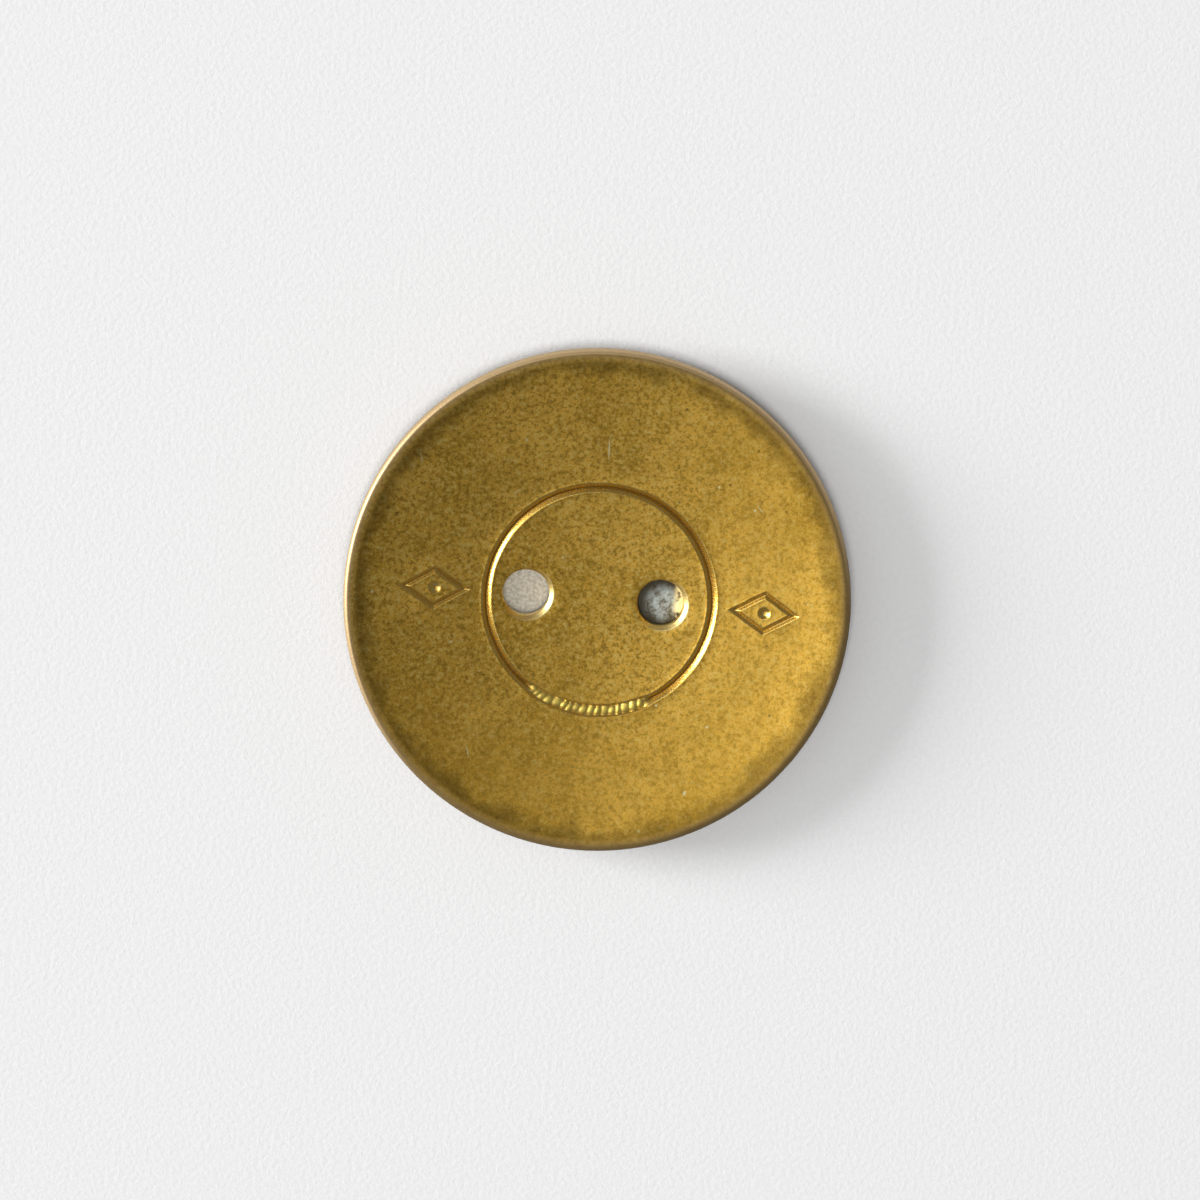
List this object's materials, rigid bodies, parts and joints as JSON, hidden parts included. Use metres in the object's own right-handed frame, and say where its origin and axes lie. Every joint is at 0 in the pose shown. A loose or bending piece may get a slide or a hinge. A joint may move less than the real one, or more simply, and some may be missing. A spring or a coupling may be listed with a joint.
{
  "type": "sew on button",
  "caption": "Round dished metal sew-on button with a rolled rim, drawn sewing holes and a plain engraved ring and lozenges.",
  "frame": {"origin": "centre of the back plate's flat, where the button rests, at the bottom of the part", "axes": "+Z out of the face, +X along the line of the two sewing holes"},
  "size_m": [0.0203, 0.0202, 0.0021],
  "materials": {
    "antique_brass": "satin antique brass with a fine grain, and brighter bare brass in the engraved lines",
    "tinned_steel": "dull mottled tin plate",
    "pressed_card": "matt pressed grey-brown card, hidden between the two sheets"
  },
  "bodies": {
    "root": {"face_shell": "antique_brass", "back_plate": "tinned_steel", "filler_disc": "pressed_card"}
  },
  "joints": []
}
